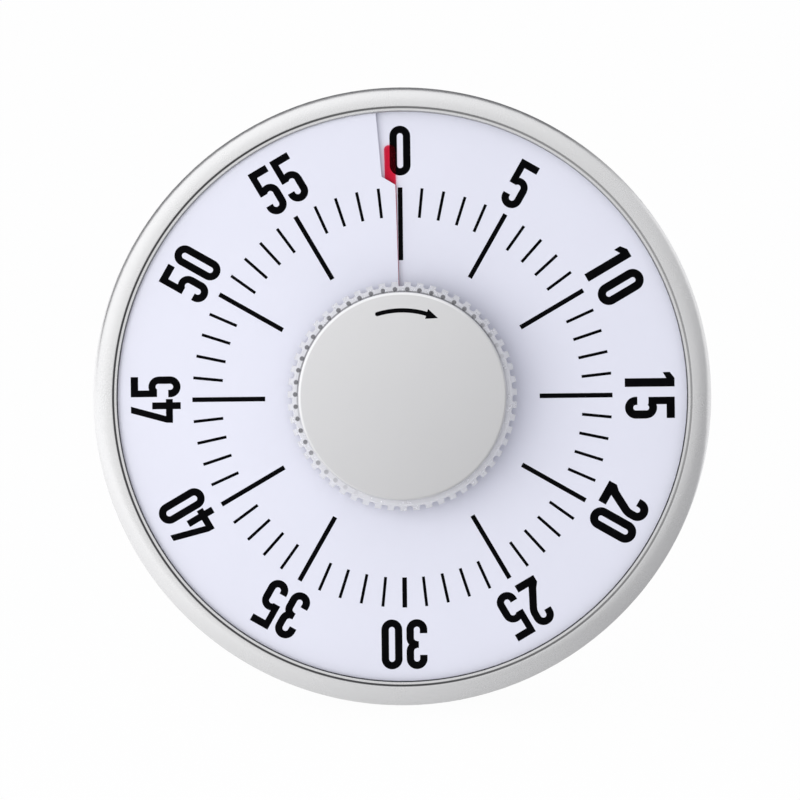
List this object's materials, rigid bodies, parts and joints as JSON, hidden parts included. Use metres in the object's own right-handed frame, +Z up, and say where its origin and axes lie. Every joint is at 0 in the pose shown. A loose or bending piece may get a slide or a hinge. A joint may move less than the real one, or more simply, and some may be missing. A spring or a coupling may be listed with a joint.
{
  "type": "visual countdown timer",
  "caption": "Round desk timer whose fluted centre knob draws a red film from a slit over a numbered dial, with a silver ring and a hinged stand.",
  "frame": {"origin": "middle of the whole timer's footprint, on the surface that it stands on", "axes": "+Z up, -Y towards the viewer of the dial, +X towards three o'clock; the dial leans back 15 degrees"},
  "size_m": [0.18, 0.0828, 0.1781],
  "materials": {
    "ring": "satin silver",
    "dial": "smooth, printed",
    "film": "satin",
    "inner_plastic": "matt",
    "knob_core": "matt",
    "knob_skirt": "clear, polished",
    "knob_cap": "satin silver",
    "steel": "turned",
    "case": "fine grain",
    "rubber": "matt",
    "magnet": "nickel plated",
    "cell": "printed can",
    "black_plastic": "matt",
    "board": "solder mask",
    "wheel": "moulded",
    "copper": "lacquered wire",
    "brass": "bright"
  },
  "bodies": {
    "timer": {"front_ring": "ring", "dial_plate": "dial", "dial_carrier": "inner_plastic", "rear_housing": "case", "housing_screws": "steel", "magnets": "magnet", "rubber_feet": "rubber", "kickstand_pin": "steel", "battery_cell": "cell", "battery_contacts": "steel", "buzzer": "black_plastic", "switch_body": "black_plastic", "circuit_board": "board", "board_components": "black_plastic", "movement_rear_plate": "inner_plastic", "movement_front_plate": "inner_plastic", "movement_screws": "steel", "stator": "steel", "coil": "copper", "zero_contact": "brass"},
    "knob": {"knob_cap": "knob_cap", "knob_core": "knob_core", "knob_skirt": "knob_skirt", "arbor": "steel", "centre_wheel": "wheel", "clutch_spring": "brass", "zero_cam": "wheel"},
    "film": {"time_film": "film", "film_hub": "inner_plastic"},
    "first_gear": {"first_staff": "wheel"},
    "second_gear": {"second_staff": "wheel"},
    "motor_rotor": {"rotor": "wheel"},
    "stand": {"kickstand": "case", "kickstand_pads": "rubber"},
    "door": {"battery_door": "case"},
    "volume": {"volume_slider": "black_plastic"}
  },
  "joints": [
    {"name": "knob_turn", "type": "hinge", "parent": "timer", "child": "knob", "pos_m": [0, -0.02954, 0.095], "axis": [0, 0.9659, -0.2588], "range_deg": [0, 360]},
    {"name": "film_rise", "type": "slide", "parent": "knob", "child": "film", "axis": [0, -0.9659, 0.2588], "range_m": [0, 0.0016]},
    {"name": "first_staff_turn", "type": "hinge", "parent": "timer", "child": "first_gear", "pos_m": [-0.01316, -0.00702, 0.08401], "axis": [0, -0.9659, 0.2588], "range_deg": [0, 2160]},
    {"name": "second_staff_turn", "type": "hinge", "parent": "timer", "child": "second_gear", "pos_m": [-0.00716, -0.00642, 0.07309], "axis": [0, 0.9659, -0.2588], "range_deg": [0, 10800]},
    {"name": "rotor_turn", "type": "hinge", "parent": "timer", "child": "motor_rotor", "pos_m": [0.00534, -0.00314, 0.07221], "axis": [0, -0.9659, 0.2588], "range_deg": [0, 43200]},
    {"name": "stand_fold", "type": "hinge", "parent": "timer", "child": "stand", "pos_m": [0, 0.02105, 0.11458], "axis": [-1, 0, 0], "range_deg": [0, 24]},
    {"name": "door_slide", "type": "slide", "parent": "timer", "child": "door", "axis": [-1, 0, 0], "range_m": [0, 0.04]},
    {"name": "volume_slide", "type": "slide", "parent": "timer", "child": "volume", "axis": [0, 0.2588, 0.9659], "range_m": [-0.0025, 0.0025]}
  ],
  "couplings": [
    {"joint": "film_rise", "follows": "knob_turn", "m_per_rad": 0.00025465},
    {"joint": "first_staff_turn", "follows": "knob_turn", "ratio": 6},
    {"joint": "second_staff_turn", "follows": "knob_turn", "ratio": 30},
    {"joint": "rotor_turn", "follows": "knob_turn", "ratio": 120}
  ]
}
